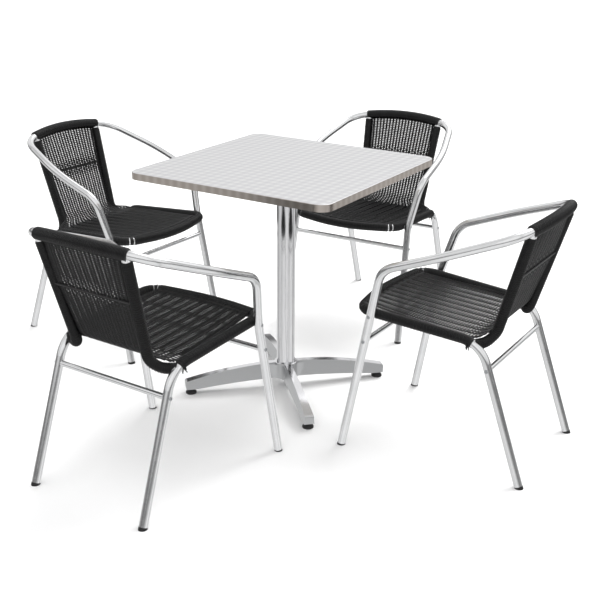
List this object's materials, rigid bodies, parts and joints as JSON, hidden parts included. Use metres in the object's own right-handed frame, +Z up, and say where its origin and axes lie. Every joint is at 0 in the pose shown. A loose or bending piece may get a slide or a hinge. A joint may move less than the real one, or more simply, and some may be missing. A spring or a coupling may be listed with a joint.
{
  "type": "patio dining set",
  "caption": "Square pedestal bistro table with a patterned metal top, and tubular armchairs with black woven seats and backs placed around it.",
  "frame": {"origin": "on the floor, under the middle of the whole set's footprint", "axes": "+Z up; the table top's sides run along X and Y; chair_1 stands on the -Y side, chair_2 on +X, chair_3 on +Y and chair_4 on -X, each facing the table"},
  "size_m": [2.03, 2.0314, 0.756],
  "materials": {
    "stainless_sheet": "pressed stainless sheet with a small repeating pattern",
    "board": "fibreboard with a grey backing sheet, hidden inside the skin",
    "cast_aluminium": "cast and polished",
    "polished_column": "polished tube",
    "frame_tube": "satin anodised tube",
    "steel_fixings": "zinc plated",
    "black_plastic": "moulded nylon",
    "black_rod": "powder coated",
    "woven_strand": "round polyethylene strand, semi-matt"
  },
  "bodies": {
    "table": {"top_skin": "stainless_sheet", "top_core": "board", "top_spider": "cast_aluminium", "spider_screws": "steel_fixings", "column": "polished_column", "tie_rod": "steel_fixings", "rod_nuts": "steel_fixings", "base_casting": "cast_aluminium"},
    "glide_1_pad": {"glide_pad_1": "black_plastic"},
    "glide_1_stud": {"glide_stud_1": "steel_fixings"},
    "glide_2_pad": {"glide_pad_2": "black_plastic"},
    "glide_2_stud": {"glide_stud_2": "steel_fixings"},
    "glide_3_pad": {"glide_pad_3": "black_plastic"},
    "glide_3_stud": {"glide_stud_3": "steel_fixings"},
    "glide_4_pad": {"glide_pad_4": "black_plastic"},
    "glide_4_stud": {"glide_stud_4": "steel_fixings"},
    "chair_1": {"chair_1_arm_frame": "frame_tube", "chair_1_seat_frame": "frame_tube", "chair_1_back_posts": "frame_tube", "chair_1_front_stretcher": "frame_tube", "chair_1_rear_stretcher": "frame_tube", "chair_1_support_rods": "black_rod", "chair_1_screws": "steel_fixings", "chair_1_foot_caps": "black_plastic", "chair_1_seat_weave": "woven_strand", "chair_1_back_weave": "woven_strand", "chair_1_frame_wraps": "woven_strand"},
    "chair_2": {"chair_2_arm_frame": "frame_tube", "chair_2_seat_frame": "frame_tube", "chair_2_back_posts": "frame_tube", "chair_2_front_stretcher": "frame_tube", "chair_2_rear_stretcher": "frame_tube", "chair_2_support_rods": "black_rod", "chair_2_screws": "steel_fixings", "chair_2_foot_caps": "black_plastic", "chair_2_seat_weave": "woven_strand", "chair_2_back_weave": "woven_strand", "chair_2_frame_wraps": "woven_strand"},
    "chair_3": {"chair_3_arm_frame": "frame_tube", "chair_3_seat_frame": "frame_tube", "chair_3_back_posts": "frame_tube", "chair_3_front_stretcher": "frame_tube", "chair_3_rear_stretcher": "frame_tube", "chair_3_support_rods": "black_rod", "chair_3_screws": "steel_fixings", "chair_3_foot_caps": "black_plastic", "chair_3_seat_weave": "woven_strand", "chair_3_back_weave": "woven_strand", "chair_3_frame_wraps": "woven_strand"},
    "chair_4": {"chair_4_arm_frame": "frame_tube", "chair_4_seat_frame": "frame_tube", "chair_4_back_posts": "frame_tube", "chair_4_front_stretcher": "frame_tube", "chair_4_rear_stretcher": "frame_tube", "chair_4_support_rods": "black_rod", "chair_4_screws": "steel_fixings", "chair_4_foot_caps": "black_plastic", "chair_4_seat_weave": "woven_strand", "chair_4_back_weave": "woven_strand", "chair_4_frame_wraps": "woven_strand"}
  },
  "joints": [
    {"name": "glide_1_travel", "type": "slide", "parent": "table", "child": "glide_1_pad", "axis": [0, 0, -1], "range_m": [0, 0.006]},
    {"name": "glide_1_turn", "type": "hinge", "parent": "glide_1_pad", "child": "glide_1_stud", "pos_m": [0.31427, 0.16357, 0.02], "axis": [0, 0, -1], "range_deg": [0, 1725]},
    {"name": "glide_2_travel", "type": "slide", "parent": "table", "child": "glide_2_pad", "axis": [0, 0, -1], "range_m": [0, 0.006]},
    {"name": "glide_2_turn", "type": "hinge", "parent": "glide_2_pad", "child": "glide_2_stud", "pos_m": [-0.13827, 0.16357, 0.02], "axis": [0, 0, -1], "range_deg": [0, 1725]},
    {"name": "glide_3_travel", "type": "slide", "parent": "table", "child": "glide_3_pad", "axis": [0, 0, -1], "range_m": [0, 0.006]},
    {"name": "glide_3_turn", "type": "hinge", "parent": "glide_3_pad", "child": "glide_3_stud", "pos_m": [-0.13827, -0.28897, 0.02], "axis": [0, 0, -1], "range_deg": [0, 1725]},
    {"name": "glide_4_travel", "type": "slide", "parent": "table", "child": "glide_4_pad", "axis": [0, 0, -1], "range_m": [0, 0.006]},
    {"name": "glide_4_turn", "type": "hinge", "parent": "glide_4_pad", "child": "glide_4_stud", "pos_m": [0.31427, -0.28897, 0.02], "axis": [0, 0, -1], "range_deg": [0, 1725]},
    {"name": "chair_1_pull_out", "type": "slide", "parent": "table", "child": "chair_1", "axis": [-0.0349, -0.9994, 0], "range_m": [-0.06, 0.34]},
    {"name": "chair_2_pull_out", "type": "slide", "parent": "table", "child": "chair_2", "axis": [1, -0.0087, 0], "range_m": [-0.04, 0.36]},
    {"name": "chair_3_pull_out", "type": "slide", "parent": "table", "child": "chair_3", "axis": [-0.0262, 0.9997, 0], "range_m": [-0.18, 0.22]},
    {"name": "chair_4_pull_out", "type": "slide", "parent": "table", "child": "chair_4", "axis": [-0.9994, 0.0349, 0], "range_m": [-0.16, 0.24]}
  ],
  "couplings": [
    {"joint": "glide_1_travel", "follows": "glide_1_turn", "m_per_rad": 0.00019894},
    {"joint": "glide_2_travel", "follows": "glide_2_turn", "m_per_rad": 0.00019894},
    {"joint": "glide_3_travel", "follows": "glide_3_turn", "m_per_rad": 0.00019894},
    {"joint": "glide_4_travel", "follows": "glide_4_turn", "m_per_rad": 0.00019894}
  ]
}
